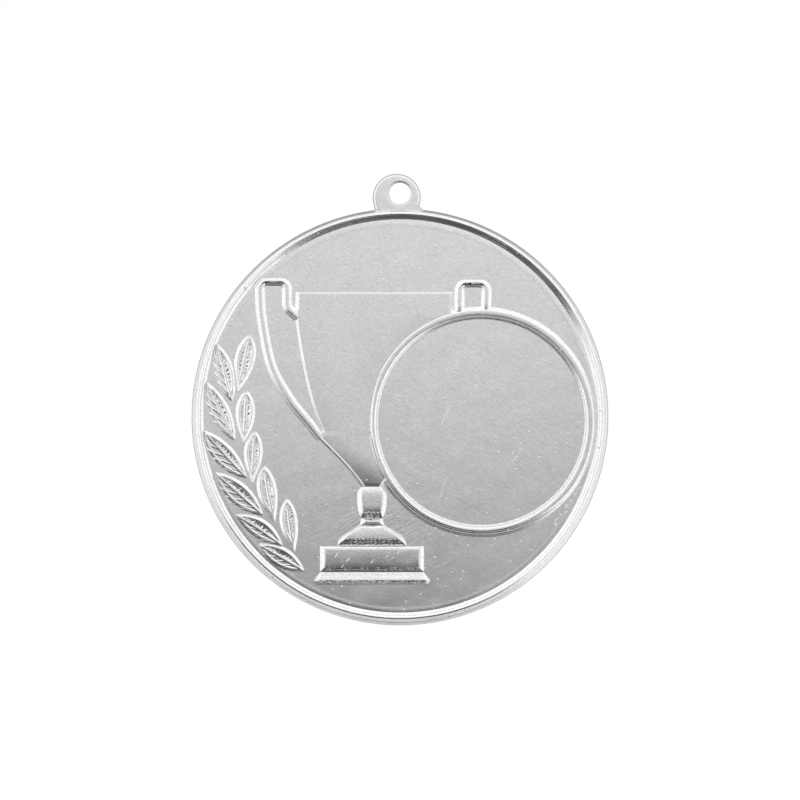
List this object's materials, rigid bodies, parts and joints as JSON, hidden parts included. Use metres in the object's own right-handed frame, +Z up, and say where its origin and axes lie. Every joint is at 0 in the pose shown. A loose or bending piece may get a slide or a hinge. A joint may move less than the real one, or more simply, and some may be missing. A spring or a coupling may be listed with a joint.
{
  "type": "prize medal",
  "caption": "Round prize medal with a hanging loop, raised rim, round insert seat, and a two-handled cup and laurel spray in relief.",
  "frame": {"origin": "middle of the loop's hole, halfway through the loop's thickness", "axes": "+Z up, from the medal's middle to the loop; the face with the relief looks towards -Y; +X to the right as the face is seen"},
  "size_m": [0.05, 0.0022, 0.0542],
  "materials": {
    "silver_plate": "soft satin nickel-silver plating with fine grain, small nicks and hairline scratches"
  },
  "bodies": {
    "root": {"medal_plate": "silver_plate", "rim": "silver_plate", "hanging_loop": "silver_plate", "insert_bezel": "silver_plate", "cup_bowl": "silver_plate", "cup_handle_left": "silver_plate", "cup_handle_right": "silver_plate", "cup_knop": "silver_plate", "cup_collar": "silver_plate", "cup_foot": "silver_plate", "plinth": "silver_plate", "plinth_step": "silver_plate", "laurel_leaf_outer_1": "silver_plate", "laurel_leaf_outer_2": "silver_plate", "laurel_leaf_outer_3": "silver_plate", "laurel_leaf_outer_4": "silver_plate", "laurel_leaf_outer_5": "silver_plate", "laurel_leaf_outer_6": "silver_plate", "laurel_leaf_inner_1": "silver_plate", "laurel_leaf_inner_2": "silver_plate", "laurel_leaf_inner_3": "silver_plate", "laurel_leaf_inner_4": "silver_plate", "laurel_leaf_inner_5": "silver_plate"}
  },
  "joints": []
}
